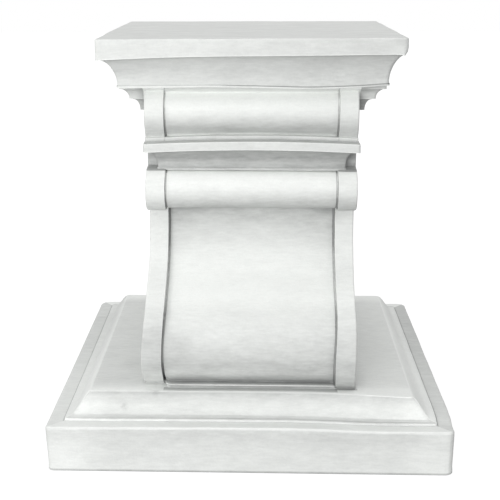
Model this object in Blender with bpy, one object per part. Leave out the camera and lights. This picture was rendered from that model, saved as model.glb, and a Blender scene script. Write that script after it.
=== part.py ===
"""A scroll plinth, cast in one: a square base slab with an ogee step, a scroll-shaped block and a square cap.

Metres, +Z up, and the front faces -Y. The origin is the middle of the underside.
The back is the same as the front.
"""

import math

import bmesh
import bpy

# Overall sizes.
BASE_WIDTH = 0.434
CAP_WIDTH = 0.315
HEIGHT = 0.449

# The base: a slab, then an ogee that rises from a small step to the raised plane under the block.
SLAB_TOP = 0.0492
STEP_INSET = 0.0198
STEP_HEIGHT = 0.0020
PLANE_INSET = 0.0425
PLANE_HEIGHT = 0.0726
OGEE_STEPS = 10
BASE_EDGE = 0.0030
BASE_CORNER = 0.0080

# The cap: a plain fascia, a hollow under it and a thin lip round its foot.
FASCIA_FOOT = 0.4300
CAP_FOOT = 0.3985
CAP_INSET = 0.0182
CAP_LIP = 0.0035
CAP_LIP_PROUD = 0.0008
CAP_EDGE = 0.0015
CAP_CORNER = 0.0030

# The two neck mouldings under the cap. Each is upright from its top, then hollow down to its foot.
UPPER_NECK = {
    "half_x": 0.1398, "half_y": 0.1057, "top": 0.4020, "hollow": 0.3915, "foot": 0.3800, "inset": 0.0100,
}
LOWER_NECK = {
    "half_x": 0.1264, "half_y": 0.0912, "top": 0.3840, "hollow": 0.3790, "foot": 0.3667, "inset": 0.0070,
}
NECK_CORNER = 0.0020

# The scroll block: its side faces, and the strips down both edges of its front and back.
BLOCK_HALF_X = 0.1157
STRIP_WIDTH = 0.0220
STRIP_OVER_ROLL = 0.0025
STRIP_OVER_PANEL = 0.0090

# The block's outline along the strips in side view, as distances out from the middle and heights.
UPPER_ROLL = {"out": 0.0845, "height": 0.3662, "radius": 0.0282}
LOWER_ROLL = {"out": 0.0920, "height": 0.2800, "radius": 0.0230}
WAIST_OUT = 0.0800
ROLL_DRAFT = 0.0010
SWEEP_OUT = 0.0690
SWEEP_HEIGHT = 0.2480
SWEEP_RADIUS = 0.0740
TOE_OUT = 0.1745
TOE_HEIGHT = 0.1110
TOE_RADIUS = 0.0540

# The thin bead that closes the foot of each panel.
BEAD_HEIGHT = 0.0042
BEAD_OUT = 0.1580

# The ledge that closes the gap between the upper roll and the shelf, between the strips.
LEDGE_TOP = 0.3415
LEDGE_OUT = 0.1050

# The shelf moulding between the rolls: a fascia, a hollow with returned ends and a lip.
# The hollow goes in less at its returned ends than at the front, by the return's share.
SHELF_TOP = 0.3385
SHELF_HALF_X = 0.1167
SHELF_OUT = 0.1190
SHELF_EDGE = 0.0012
SHELF_CORNER = 0.0015
SHELF_FASCIA = 0.0100
SHELF_SOFFIT = 0.0045
SHELF_INSET = 0.0215
SHELF_RETURN = 0.6
SHELF_FOOT = 0.3008
SHELF_LIP = 0.0030
SHELF_LIP_PROUD = 0.0012

# How finely edges, hollows, rolls and sweeps are cut.
EDGE_STEPS = 3
HOLLOW_STEPS = 8
ROLL_STEP = math.radians(7.5)
SWEEP_STEP = math.radians(4)
SHARP_ANGLE = math.radians(32)

# How far one form runs into the next, so that the casting joins up, and how far faces that would share a
# plane are kept apart inside it.
OVERLAP = 0.0040
STAGGER = 0.0010

# Points closer than this are one point, and faces that lean less than this from each other are one face.
SAME_POINT = 0.00001
SAME_PLANE = math.radians(0.1)

COLOUR = (0.80, 0.81, 0.79, 1.0)
ROUGHNESS = 0.62


def clear_scene():
    """Start from an empty scene."""
    for thing in list(bpy.data.objects):
        bpy.data.objects.remove(thing, do_unlink=True)


def make_collection(name):
    """Add a collection to the scene."""
    group = bpy.data.collections.new(name)
    bpy.context.scene.collection.children.link(group)
    return group


def make_finish():
    """The white painted finish of the casting."""
    finish = bpy.data.materials.new("white_cast_finish")
    finish.use_nodes = True
    shader = finish.node_tree.nodes["Principled BSDF"]
    shader.inputs["Base Color"].default_value = COLOUR
    shader.inputs["Roughness"].default_value = ROUGHNESS
    shader.inputs["Metallic"].default_value = 0.0
    return finish


def add_object(name, mesh, group):
    """Put a mesh in the scene."""
    shade_round(mesh)
    thing = bpy.data.objects.new(name, mesh)
    group.objects.link(thing)
    return thing


def add_form(name, mesh, group):
    """A form that is joined into the casting, and isn't a piece of its own."""
    form = add_object(name, mesh, group)
    form.hide_render = True
    form.display_type = "WIRE"
    return form


def round_over(inset, height, radius, downwards):
    """A rounded outer edge, as (inset, height) levels from top to bottom.

    Downwards, it starts on the flat above at this height. Otherwise it ends on the flat below at this height.
    """
    levels = []
    for i in range(EDGE_STEPS + 1):
        turn = math.pi / 2 * i / EDGE_STEPS
        along = radius * (1 - math.sin(turn))
        down = radius * (1 - math.cos(turn))
        levels.append((inset + along, height - down if downwards else height + down))
    return levels if downwards else levels[::-1]


def hollow(inset, top, foot, depth):
    """A quarter hollow, as levels: level at its top, and upright at its foot, further in by its depth."""
    levels = []
    for i in range(HOLLOW_STEPS + 1):
        turn = math.pi / 2 * i / HOLLOW_STEPS
        fall = (top - foot) * (1 - math.cos(turn))
        levels.append((inset + depth * math.sin(turn), top - fall))
    return levels


def ogee(top_inset, top, foot_inset, foot):
    """A soft double curve, as levels: round at its top edge and hollow at its foot."""
    levels = []
    for i in range(OGEE_STEPS + 1):
        along = i / OGEE_STEPS
        fall = (1 - math.cos(math.pi * along)) / 2
        levels.append((top_inset + (foot_inset - top_inset) * along, top - (top - foot) * fall))
    return levels


def move_rim(verts, inset, height, share):
    """Move a four-cornered rim in by an inset, or out by a negative one, to a height.

    Its ends across X move by a share of the inset.
    """
    for vert in verts:
        vert.co.x -= inset * share * math.copysign(1, vert.co.x)
        vert.co.y -= inset * math.copysign(1, vert.co.y)
        vert.co.z = height


def mitred(name, half_x, half_y, corner, levels, share=1.0):
    """A moulding with mitred corners: a block whose foot is extruded down through (inset, height) levels."""
    bm = bmesh.new()
    bmesh.ops.create_cube(bm, size=1.0)
    bmesh.ops.scale(bm, vec=(2 * half_x, 2 * half_y, 1.0), verts=bm.verts)
    upright = [edge for edge in bm.edges if abs(edge.verts[0].co.z - edge.verts[1].co.z) > 0.5]
    bmesh.ops.bevel(bm, geom=upright, offset=corner, segments=EDGE_STEPS, profile=0.5, affect="EDGES")
    top_rim = [vert for vert in bm.verts if vert.co.z > 0]
    foot_rim = [vert for vert in bm.verts if vert.co.z < 0]
    move_rim(top_rim, *levels[0], share)
    move_rim(foot_rim, *levels[1], share)
    foot = min(bm.faces, key=lambda face: face.calc_center_median().z)
    for (inset, _), (next_inset, next_height) in zip(levels[1:], levels[2:]):
        extruded = bmesh.ops.extrude_face_region(bm, geom=[foot])["geom"]
        bmesh.ops.delete(bm, geom=[foot], context="FACES_ONLY")
        rim = [item for item in extruded if isinstance(item, bmesh.types.BMVert)]
        foot = next(item for item in extruded if isinstance(item, bmesh.types.BMFace))
        move_rim(rim, next_inset - inset, next_height, share)
    bmesh.ops.recalc_face_normals(bm, faces=bm.faces)
    mesh = bpy.data.meshes.new(name)
    bm.to_mesh(mesh)
    bm.free()
    return mesh


def box(name, half_x, half_y, foot, top):
    """A plain block that stands on the middle, from its foot to its top."""
    bm = bmesh.new()
    bmesh.ops.create_cube(bm, size=1.0)
    bmesh.ops.scale(bm, vec=(2 * half_x, 2 * half_y, top - foot), verts=bm.verts)
    bmesh.ops.translate(bm, vec=(0.0, 0.0, (foot + top) / 2), verts=bm.verts)
    mesh = bpy.data.meshes.new(name)
    bm.to_mesh(mesh)
    bm.free()
    return mesh


def shade_round(mesh):
    """Shade the curved surfaces smooth, and keep the arrises sharp."""
    mesh.shade_smooth()
    mesh.set_sharp_from_angle(angle=SHARP_ANGLE)


def arc(out, height, radius, start, end, step):
    """Points round a circle in side view. An angle of 0 faces straight out, and pi/2 faces up."""
    count = max(1, round(abs(end - start) / step))
    angles = [start + (end - start) * i / count for i in range(count + 1)]
    return [(out + radius * math.cos(turn), height + radius * math.sin(turn)) for turn in angles]


def sweep_tilt():
    """How far the straight run between the sweep and the toe leans, as the angle of its face above level."""
    across = (SWEEP_OUT + SWEEP_RADIUS) - (TOE_OUT - TOE_RADIUS)
    down = SWEEP_HEIGHT - TOE_HEIGHT
    reach = math.hypot(across, down)
    return math.atan2(down, across) - math.acos((SWEEP_RADIUS + TOE_RADIUS) / reach)


def half_outline(roll_depth, panel_depth, top, foot):
    """One side of the block's outline in side view, from top to foot.

    The rolls lie in by roll_depth, and the waist, the sweep and the toe by panel_depth.
    """
    upper = UPPER_ROLL["radius"] - roll_depth
    lower = LOWER_ROLL["radius"] - roll_depth
    waist = WAIST_OUT - panel_depth
    sweep = SWEEP_OUT - panel_depth
    tilt = sweep_tilt()
    toe_radius = TOE_RADIUS - panel_depth
    toe_end = -math.asin((TOE_HEIGHT - foot) / toe_radius)

    points = [(UPPER_ROLL["out"], top)]
    points += arc(UPPER_ROLL["out"], UPPER_ROLL["height"], upper, math.pi / 2, -math.pi / 2, ROLL_STEP)
    points += [(waist, UPPER_ROLL["height"] - upper - ROLL_DRAFT)]
    points += [(waist, LOWER_ROLL["height"] + lower + ROLL_DRAFT)]
    points += arc(LOWER_ROLL["out"], LOWER_ROLL["height"], lower, math.pi / 2, -math.pi / 2, ROLL_STEP)
    points += [(sweep, LOWER_ROLL["height"] - lower - ROLL_DRAFT)]
    points += arc(SWEEP_OUT + SWEEP_RADIUS, SWEEP_HEIGHT, SWEEP_RADIUS + panel_depth,
                  math.pi, math.pi + tilt, SWEEP_STEP)
    points += arc(TOE_OUT - TOE_RADIUS, TOE_HEIGHT, toe_radius, tilt, toe_end, SWEEP_STEP)
    return points


def extruded(name, outline, half_width, group):
    """A flat outline in side view, given a thickness across the block and made a mesh."""
    curve = bpy.data.curves.new(name, "CURVE")
    curve.dimensions = "2D"
    curve.fill_mode = "BOTH"
    curve.extrude = half_width
    spline = curve.splines.new("POLY")
    spline.points.add(len(outline) - 1)
    spline.use_cyclic_u = True
    for point, (along, height) in zip(spline.points, outline):
        point.co = (along, height, 0.0, 1.0)
    shape = bpy.data.objects.new(name, curve)
    group.objects.link(shape)
    shape.rotation_euler = (math.pi / 2, 0.0, math.pi / 2)
    bpy.context.view_layer.update()

    solid = bpy.data.meshes.new_from_object(shape.evaluated_get(bpy.context.evaluated_depsgraph_get()))
    solid.transform(shape.matrix_world)
    bpy.data.objects.remove(shape, do_unlink=True)
    bm = bmesh.new()
    bm.from_mesh(solid)
    bmesh.ops.remove_doubles(bm, verts=bm.verts, dist=SAME_POINT)
    bmesh.ops.dissolve_limit(bm, angle_limit=SAME_PLANE, verts=bm.verts, edges=bm.edges)
    bmesh.ops.recalc_face_normals(bm, faces=bm.faces)
    bm.to_mesh(solid)
    bm.free()
    return solid


def both_sides(half):
    """A closed outline from one half of it: the half and its mirror image across the middle."""
    return half + [(-out, height) for out, height in reversed(half)]


def moved(mesh, across):
    """The same mesh, moved across the block."""
    for vert in mesh.vertices:
        vert.co.x += across
    return mesh


def base_levels():
    """The base from the raised plane down to the underside, as insets from its widest face."""
    levels = ogee(PLANE_INSET, PLANE_HEIGHT, STEP_INSET, SLAB_TOP + STEP_HEIGHT)
    levels += [(STEP_INSET, SLAB_TOP)]
    levels += round_over(0.0, SLAB_TOP, BASE_EDGE, downwards=True)
    levels += round_over(0.0, 0.0, BASE_EDGE, downwards=False)
    return levels


def cap_levels():
    """The cap from its top down to its flat underside."""
    levels = round_over(0.0, HEIGHT, CAP_EDGE, downwards=True)
    levels += [(0.0, FASCIA_FOOT)]
    levels += hollow(CAP_EDGE, FASCIA_FOOT, CAP_FOOT + CAP_LIP, CAP_INSET - CAP_EDGE)
    levels += [(CAP_INSET - CAP_LIP_PROUD, CAP_FOOT + CAP_LIP), (CAP_INSET - CAP_LIP_PROUD, CAP_FOOT)]
    return levels


def neck_levels(neck):
    """A neck moulding from its top, inside the form above it, down to its foot."""
    return [(0.0, neck["top"])] + hollow(0.0, neck["hollow"], neck["foot"], neck["inset"])


def shelf_levels():
    """The shelf moulding from its top down to its foot."""
    hollow_top = SHELF_TOP - SHELF_FASCIA
    hollow_foot = SHELF_FOOT + SHELF_LIP
    levels = round_over(0.0, SHELF_TOP, SHELF_EDGE, downwards=True)
    levels += [(0.0, hollow_top)]
    levels += hollow(SHELF_SOFFIT, hollow_top, hollow_foot, SHELF_INSET + SHELF_LIP_PROUD - SHELF_SOFFIT)
    levels += [(SHELF_INSET, hollow_foot), (SHELF_INSET, SHELF_FOOT)]
    return levels


def add_mouldings(forms):
    """The cap, the two neck mouldings and the shelf, each with mitred corners."""
    half_cap = CAP_WIDTH / 2
    cap = mitred("cap", half_cap, half_cap, CAP_CORNER, cap_levels())
    shelf = mitred("shelf", SHELF_HALF_X, SHELF_OUT, SHELF_CORNER, shelf_levels(), SHELF_RETURN)
    joined = [add_form("cap", cap, forms), add_form("shelf", shelf, forms)]
    for name, neck in (("upper_neck", UPPER_NECK), ("lower_neck", LOWER_NECK)):
        ring = mitred(name, neck["half_x"], neck["half_y"], NECK_CORNER, neck_levels(neck))
        joined.append(add_form(name, ring, forms))
    return joined


def add_block(forms):
    """The scroll block: the strips, and the panels, the ledge and the bead between them."""
    top = CAP_FOOT + OVERLAP
    foot = PLANE_HEIGHT - OVERLAP
    panel_outline = both_sides(half_outline(STRIP_OVER_ROLL, STRIP_OVER_PANEL, top - STAGGER, foot))
    strip_outline = both_sides(half_outline(0.0, 0.0, top, foot - STAGGER))
    panel_half = BLOCK_HALF_X - STRIP_WIDTH + OVERLAP
    joined = [add_form("panels", extruded("panels", panel_outline, panel_half, forms), forms)]
    for name, side in (("left_strip", -1), ("right_strip", 1)):
        strip = extruded(name, strip_outline, STRIP_WIDTH / 2, forms)
        joined.append(add_form(name, moved(strip, side * (BLOCK_HALF_X - STRIP_WIDTH / 2)), forms))

    between_strips = panel_half - STAGGER
    bead = box("bead", between_strips, BEAD_OUT, PLANE_HEIGHT - OVERLAP / 2, PLANE_HEIGHT + BEAD_HEIGHT)
    ledge = box("ledge", between_strips - STAGGER, LEDGE_OUT, SHELF_TOP - OVERLAP, LEDGE_TOP)
    return joined + [add_form("bead", bead, forms), add_form("ledge", ledge, forms)]


def main():
    clear_scene()
    parts = make_collection("scroll_plinth")
    forms = make_collection("joined_forms")

    half_base = BASE_WIDTH / 2
    plinth = add_object("plinth", mitred("plinth", half_base, half_base, BASE_CORNER, base_levels()), parts)
    plinth.data.materials.append(make_finish())
    for form in add_mouldings(forms) + add_block(forms):
        join = plinth.modifiers.new("join_" + form.name, "BOOLEAN")
        join.operation = "UNION"
        join.solver = "EXACT"
        join.object = form


main()
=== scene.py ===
# %% [markdown]
# This lesson dresses a square plinth that was cast in one piece and painted white: a slab with an ogee
# step, a block that rolls over twice between raised side strips, and a square cap on two small neck
# mouldings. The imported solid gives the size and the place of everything, so it is loaded first and never
# changed.

# %% Load the solid that the casting is fitted to
import math
from collections import namedtuple

import bmesh
import bpy
import numpy as np
from mathutils import Matrix, Vector


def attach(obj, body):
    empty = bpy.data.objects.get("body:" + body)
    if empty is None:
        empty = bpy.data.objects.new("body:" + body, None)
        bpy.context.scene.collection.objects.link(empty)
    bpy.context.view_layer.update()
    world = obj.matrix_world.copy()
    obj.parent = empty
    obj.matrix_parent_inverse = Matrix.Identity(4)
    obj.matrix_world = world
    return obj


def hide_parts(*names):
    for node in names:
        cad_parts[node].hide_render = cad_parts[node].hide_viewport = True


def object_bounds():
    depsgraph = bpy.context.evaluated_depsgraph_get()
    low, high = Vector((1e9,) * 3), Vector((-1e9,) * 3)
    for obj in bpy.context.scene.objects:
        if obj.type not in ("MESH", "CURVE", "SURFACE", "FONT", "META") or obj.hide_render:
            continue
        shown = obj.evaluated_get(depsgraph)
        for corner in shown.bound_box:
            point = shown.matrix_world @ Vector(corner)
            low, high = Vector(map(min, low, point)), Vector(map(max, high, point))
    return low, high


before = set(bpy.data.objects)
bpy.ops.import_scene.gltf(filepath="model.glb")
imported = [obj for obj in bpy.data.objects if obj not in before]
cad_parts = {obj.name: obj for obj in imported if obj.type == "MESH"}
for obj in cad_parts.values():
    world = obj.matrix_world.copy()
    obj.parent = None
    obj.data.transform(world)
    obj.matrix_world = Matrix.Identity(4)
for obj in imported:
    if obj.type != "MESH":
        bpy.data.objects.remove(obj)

solid_box = [list(corner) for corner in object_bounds()]
bpy.ops.object.select_all(action="DESELECT")
print("solid from", solid_box[0], "to", solid_box[1])

# %% [markdown]
# All sizes are in metres. The widest face of the base and the height come from the solid itself, and the
# rest is given where each moulding is made. Every moulding is a list of levels, and each level is an inset
# from the moulding's widest face and a height, which is how a plasterer's running mould is drawn.

# %% The overall sizes
HALF_BASE = solid_box[1][0]
HEIGHT = solid_box[1][2]
HALF_CAP = 0.1575
OVERLAP = 0.0040
CELL = 0.0058
print("the base is", round(2000 * HALF_BASE), "mm square and the plinth", round(1000 * HEIGHT), "mm high")

# %% [markdown]
# Operators act on whatever is selected, so a few small helpers say plainly what they are to work on. Faces
# and edges are picked by where they lie, which keeps working when a size is changed.

# %% Helpers that select and shape
def take(piece):
    """Make one object the only one that is selected."""
    if bpy.context.object and bpy.context.object.mode != "OBJECT":
        bpy.ops.object.mode_set(mode="OBJECT")
    bpy.ops.object.select_all(action="DESELECT")
    piece.select_set(True)
    bpy.context.view_layer.objects.active = piece


def edit(piece, kind="FACE"):
    """Open a piece in edit mode, with nothing selected."""
    take(piece)
    bpy.ops.object.mode_set(mode="EDIT")
    bpy.ops.mesh.select_mode(type=kind)
    bpy.ops.mesh.select_all(action="DESELECT")


def pick(piece, kind, wanted):
    """Select the faces, edges or points that a test wants."""
    bm = bmesh.from_edit_mesh(piece.data)
    items = {"FACE": bm.faces, "EDGE": bm.edges, "VERT": bm.verts}[kind]
    for item in items:
        item.select_set(False)
    for item in items:
        if wanted(item):
            item.select_set(True)
    bm.select_flush_mode()
    bmesh.update_edit_mesh(piece.data)


def middle(item):
    """The middle of a face or an edge."""
    if isinstance(item, bmesh.types.BMFace):
        return item.calc_center_median()
    return (item.verts[0].co + item.verts[1].co) / 2


def cut_across(axis, places):
    """Cut everything that is open in edit mode by planes at these places along an axis."""
    normal = [0.0, 0.0, 0.0]
    normal[axis] = 1.0
    for place in places:
        point = [0.0, 0.0, 0.0]
        point[axis] = place
        bpy.ops.mesh.select_all(action="SELECT")
        bpy.ops.mesh.bisect(plane_co=point, plane_no=normal)


def even_places(half, cell):
    """Evenly spaced places between -half and half, without the ends."""
    count = max(2, round(2 * half / cell))
    return [-half + 2 * half * i / count for i in range(1, count)]


def new_block(name, half_x, half_y, foot, top):
    """Add a cube primitive at its size and place, with its origin at the middle of the floor."""
    bpy.ops.object.select_all(action="DESELECT")
    bpy.ops.mesh.primitive_cube_add(size=1.0, location=(0.0, 0.0, (foot + top) / 2))
    piece = bpy.context.object
    piece.name = name
    piece.data.name = name
    piece.scale = (2 * half_x, 2 * half_y, top - foot)
    bpy.ops.object.transform_apply(location=True, rotation=True, scale=True)
    return piece


# %% [markdown]
# A running mould is a profile that is drawn along four sides and mitred at the corners. In Blender it can
# be made by sweeping a profile along a square, but the mitres are then hard to keep square. Here the foot
# of a block is extruded down level by level and each new rim is resized, so all four mitres are right by
# themselves, and the hollows and rounded edges are only closer levels.

# %% Profiles as levels
def round_over(inset, height, radius, steps, downwards=True):
    """A rounded outer edge. Downwards, it starts on the flat above; otherwise it ends on the flat below."""
    levels = []
    for i in range(steps + 1):
        turn = math.pi / 2 * i / steps
        along = radius * (1 - math.sin(turn))
        down = radius * (1 - math.cos(turn))
        levels.append((inset + along, height - down if downwards else height + down))
    return levels if downwards else levels[::-1]


def hollow(inset, top, foot, depth, steps=12):
    """A quarter hollow: level at its top and upright at its foot, further in by its depth."""
    turns = [math.pi / 2 * i / steps for i in range(steps + 1)]
    return [(inset + depth * math.sin(turn), top - (top - foot) * (1 - math.cos(turn))) for turn in turns]


def ogee(top_inset, top, foot_inset, foot, start, end, steps=18):
    """A double curve, round above and hollow below. Start and end say how much of a wave it keeps."""
    drop = top - foot
    first_fall = drop * (1 - math.cos(math.pi * start)) / 2
    levels = []
    for i in range(steps + 1):
        share = start + (end - start) * i / steps
        along = (share - start) / (1 - start)
        fall = drop * (1 - math.cos(math.pi * share)) / 2 - first_fall
        levels.append((top_inset + (foot_inset - top_inset) * along, top - fall))
    return levels


# %% [markdown]
# One function makes every moulding. It bevels the upright edges of a block, extrudes its foot through the
# levels, and then cuts the whole form into small even cells, because the paint and the slight unevenness of
# a hand-finished casting need points to bend.

# %% One function for every moulding
def fine(levels):
    """The same levels, with more of them in the long straight runs."""
    fuller = [levels[0]]
    for (old_inset, old_height), (new_inset, new_height) in zip(levels, levels[1:]):
        count = max(1, math.ceil(math.dist((old_inset, old_height), (new_inset, new_height)) / CELL))
        for i in range(1, count + 1):
            share = i / count
            fuller.append((old_inset + (new_inset - old_inset) * share,
                           old_height + (new_height - old_height) * share))
    return fuller


def extrude_to(half_x, half_y, old, new, share):
    """Extrude the selected foot to a new level and resize its rim about the middle."""
    (old_inset, old_height), (new_inset, new_height) = old, new
    drop = (0.0, 0.0, new_height - old_height)
    bpy.ops.mesh.extrude_region_move(TRANSFORM_OT_translate={"value": drop})
    grow_x = (half_x - new_inset * share) / (half_x - old_inset * share)
    grow_y = (half_y - new_inset) / (half_y - old_inset)
    bpy.ops.transform.resize(value=(grow_x, grow_y, 1.0), center_override=(0.0, 0.0, new_height))


def run_mould(name, half_x, half_y, corners, levels, share=1.0):
    """A moulding with mitred corners, from its top level down to its foot."""
    levels = fine(levels)
    top, first = levels[0][1], levels[1]
    piece = new_block(name, half_x, half_y, first[1], top)
    edit(piece, "EDGE")
    for (side_x, side_y), radius in corners.items():
        pick(piece, "EDGE", lambda edge: (
            abs(edge.verts[0].co.z - edge.verts[1].co.z) > 0.5 * (top - first[1])
            and middle(edge).x * side_x > 0.9 * half_x and middle(edge).y * side_y > 0.9 * half_y))
        bpy.ops.mesh.bevel(offset=radius, segments=4, profile=0.5, affect="EDGES")
    bpy.ops.mesh.select_mode(type="FACE")
    for level in (levels[0], first):
        pick(piece, "FACE", lambda face: abs(middle(face).z - level[1]) < 1e-6 and abs(face.normal.z) > 0.9)
        size = ((half_x - level[0] * share) / half_x, (half_y - level[0]) / half_y, 1.0)
        bpy.ops.transform.resize(value=size, center_override=(0.0, 0.0, level[1]))
    for old, new in zip(levels[1:], levels[2:]):
        extrude_to(half_x, half_y, old, new, share)
    cut_across(0, even_places(half_x, CELL))
    cut_across(1, even_places(half_y, CELL))
    bpy.ops.object.mode_set(mode="OBJECT")
    print(name, "has", len(piece.data.polygons), "faces")
    return piece


def same_corners(radius):
    """The same rounding for all four upright edges."""
    return {(side_x, side_y): radius for side_x in (-1, 1) for side_y in (-1, 1)}


# %% [markdown]
# The base is a thick slab whose back corners are rounder than its front ones, as a casting leaves its
# mould. On it stands the ogee step: a low upright of about two millimetres, a narrow band that is almost
# level, and then the double curve, which meets the raised plane in a crisp edge.

# %% Sizes of the slab and its step
SLAB_TOP = 0.0492
SLAB_EDGE = 0.0030
SLAB_FOOT_EDGE = 0.0013
SLAB_CORNERS = {(-1, -1): 0.0060, (1, -1): 0.0085, (-1, 1): 0.0125, (1, 1): 0.0090}
STEP_INSET = 0.0198
STEP_BATTER = 0.0004
STEP_HEIGHT = 0.0022
STEP_EDGE = 0.0004
STEP_CORNER = 0.0040
PLANE_INSET = 0.0425
PLANE_HEIGHT = 0.0726
OGEE = {"foot_inset": 0.0237, "foot": 0.0508, "start": 0.10, "end": 0.83}
print("the raised plane lies", round(1000 * PLANE_HEIGHT, 1), "mm above the floor")

# %% The slab and its ogee step
slab_levels = round_over(0.0, SLAB_TOP, SLAB_EDGE, 4)
slab_levels += round_over(0.0, 0.0, SLAB_FOOT_EDGE, 3, downwards=False)
slab = run_mould("slab", HALF_BASE, HALF_BASE, SLAB_CORNERS, slab_levels)

ogee_levels = ogee(PLANE_INSET, PLANE_HEIGHT, OGEE["foot_inset"], OGEE["foot"], OGEE["start"], OGEE["end"])
ogee_levels += round_over(STEP_INSET + STEP_BATTER, SLAB_TOP + STEP_HEIGHT, STEP_EDGE, 3)
ogee_levels += [(STEP_INSET, SLAB_TOP), (STEP_INSET, SLAB_TOP - OVERLAP)]
ogee_step = run_mould("ogee_step", HALF_BASE, HALF_BASE, same_corners(STEP_CORNER), ogee_levels)

# %% [markdown]
# The cap has a plain fascia over a quarter hollow that ends in a thin lip. Two smaller mouldings carry it
# over the block: only their ends show on the left and on the right, because the upper roll is in front.

# %% The cap
FASCIA_FOOT = 0.4300
CAP_FOOT = 0.3985
CAP_INSET = 0.0182
CAP_LIP = 0.0024
CAP_LIP_PROUD = 0.0008
CAP_EDGE = 0.0015
CAP_CORNERS = {(-1, -1): 0.0024, (1, -1): 0.0050, (-1, 1): 0.0024, (1, 1): 0.0040}
cap_levels = round_over(0.0, HEIGHT, CAP_EDGE, 4) + [(0.0, FASCIA_FOOT)]
cap_levels += hollow(CAP_EDGE, FASCIA_FOOT, CAP_FOOT + CAP_LIP, CAP_INSET - CAP_EDGE)
cap_levels += [(CAP_INSET - CAP_LIP_PROUD, CAP_FOOT + CAP_LIP), (CAP_INSET - CAP_LIP_PROUD, CAP_FOOT)]
cap = run_mould("cap", HALF_CAP, HALF_CAP, CAP_CORNERS, cap_levels)

# %% The necks
UPPER_NECK = {
    "half_x": 0.1398, "half_y": 0.1057, "top": 0.4020, "hollow": 0.3915, "foot": 0.3800, "inset": 0.0100,
}
LOWER_NECK = {
    "half_x": 0.1264, "half_y": 0.0912, "top": 0.3840, "hollow": 0.3790, "foot": 0.3667, "inset": 0.0070,
}
NECK_CORNERS = {(-1, -1): 0.0016, (1, -1): 0.0036, (-1, 1): 0.0016, (1, 1): 0.0024}
necks = []
for name, neck in (("upper_neck", UPPER_NECK), ("lower_neck", LOWER_NECK)):
    neck_levels = [(0.0, neck["top"])] + hollow(0.0, neck["hollow"], neck["foot"], neck["inset"], 8)
    necks.append(run_mould(name, neck["half_x"], neck["half_y"], NECK_CORNERS, neck_levels))

# %% [markdown]
# The shelf between the rolls is one more such moulding. It is a small cornice on its own: a square edge, a
# soffit, a deep hollow and a thin lip. At its ends it returns only a little, so there its levels are
# resized less.

# %% The shelf
SHELF_TOP = 0.3385
SHELF_HALF_X = 0.1167
SHELF_OUT = 0.1190
SHELF_EDGE = 0.0012
SHELF_FASCIA = 0.0100
SHELF_SOFFIT = 0.0045
SHELF_INSET = 0.0215
SHELF_RETURN = 0.6
SHELF_FOOT = 0.3008
SHELF_LIP = 0.0030
SHELF_LIP_PROUD = 0.0012
SHELF_CORNER = 0.0032
shelf_hollow = SHELF_TOP - SHELF_FASCIA
shelf_levels = round_over(0.0, SHELF_TOP, SHELF_EDGE, 3) + [(0.0, shelf_hollow)]
shelf_levels += hollow(SHELF_SOFFIT, shelf_hollow, SHELF_FOOT + SHELF_LIP,
                       SHELF_INSET + SHELF_LIP_PROUD - SHELF_SOFFIT)
shelf_levels += [(SHELF_INSET, SHELF_FOOT + SHELF_LIP), (SHELF_INSET, SHELF_FOOT)]
shelf = run_mould("shelf", SHELF_HALF_X, SHELF_OUT, same_corners(SHELF_CORNER), shelf_levels, SHELF_RETURN)

# %% [markdown]
# The block is the heart of the plinth. Seen from the side it rolls over twice and sweeps out to a toe, with
# raised strips along both edges of its front and its back. It could be cut from an extruded outline, but
# then its arrises would be knife-sharp. So the plan of the block is drawn once, with rounded strip edges
# and a fine groove where each strip meets the panel, and it is extruded upwards through more than two
# hundred levels. At each level the strips and the panel are resized to how far out they stand at that
# height.

# %% Sizes of the block
BLOCK_HALF_X = 0.1157
STRIP_WIDTH = 0.0220
STRIP_OVER_ROLL = 0.0025
STRIP_OVER_PANEL = 0.0090
STRIP_EDGE = 0.0009
STRIP_END = 0.0024
UPPER_ROLL = {"out": 0.0845, "height": 0.3662, "radius": 0.0282}
LOWER_ROLL = {"out": 0.0920, "height": 0.2800, "radius": 0.0230}
WAIST_OUT = 0.0800
ROLL_DRAFT = 0.0010
SWEEP = {"out": 0.0690, "height": 0.2480, "radius": 0.0740}
TOE = {"out": 0.1745, "height": 0.1110, "radius": 0.0540}
BEAD = {"top": 0.0764, "out": 0.1586, "edge": 0.0013, "undercut": 0.0022}
LEDGE = {"top": 0.3424, "out": 0.1030, "edge": 0.0010}
print("the block is", round(2000 * BLOCK_HALF_X), "mm wide")

# %% [markdown]
# Two circles and the straight run that touches both make the sweep and the toe. A depth behind the strips'
# face makes the round of the toe smaller and the hollow of the sweep larger, as it does on a real raised
# strip.

# %% How far out the strips and the panel stand
def arc_out(roll, height, depth):
    """How far out a roll's face is at this height, once it lies in by a depth."""
    radius = roll["radius"] - depth
    return roll["out"] + math.sqrt(max(0.0, radius ** 2 - (height - roll["height"]) ** 2))


def sweep_tilt():
    """How far the straight run between the sweep and the toe leans, as the angle of its face above level."""
    across = (SWEEP["out"] + SWEEP["radius"]) - (TOE["out"] - TOE["radius"])
    down = SWEEP["height"] - TOE["height"]
    return math.atan2(down, across) - math.acos((SWEEP["radius"] + TOE["radius"]) / math.hypot(across, down))


TILT = sweep_tilt()


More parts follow.
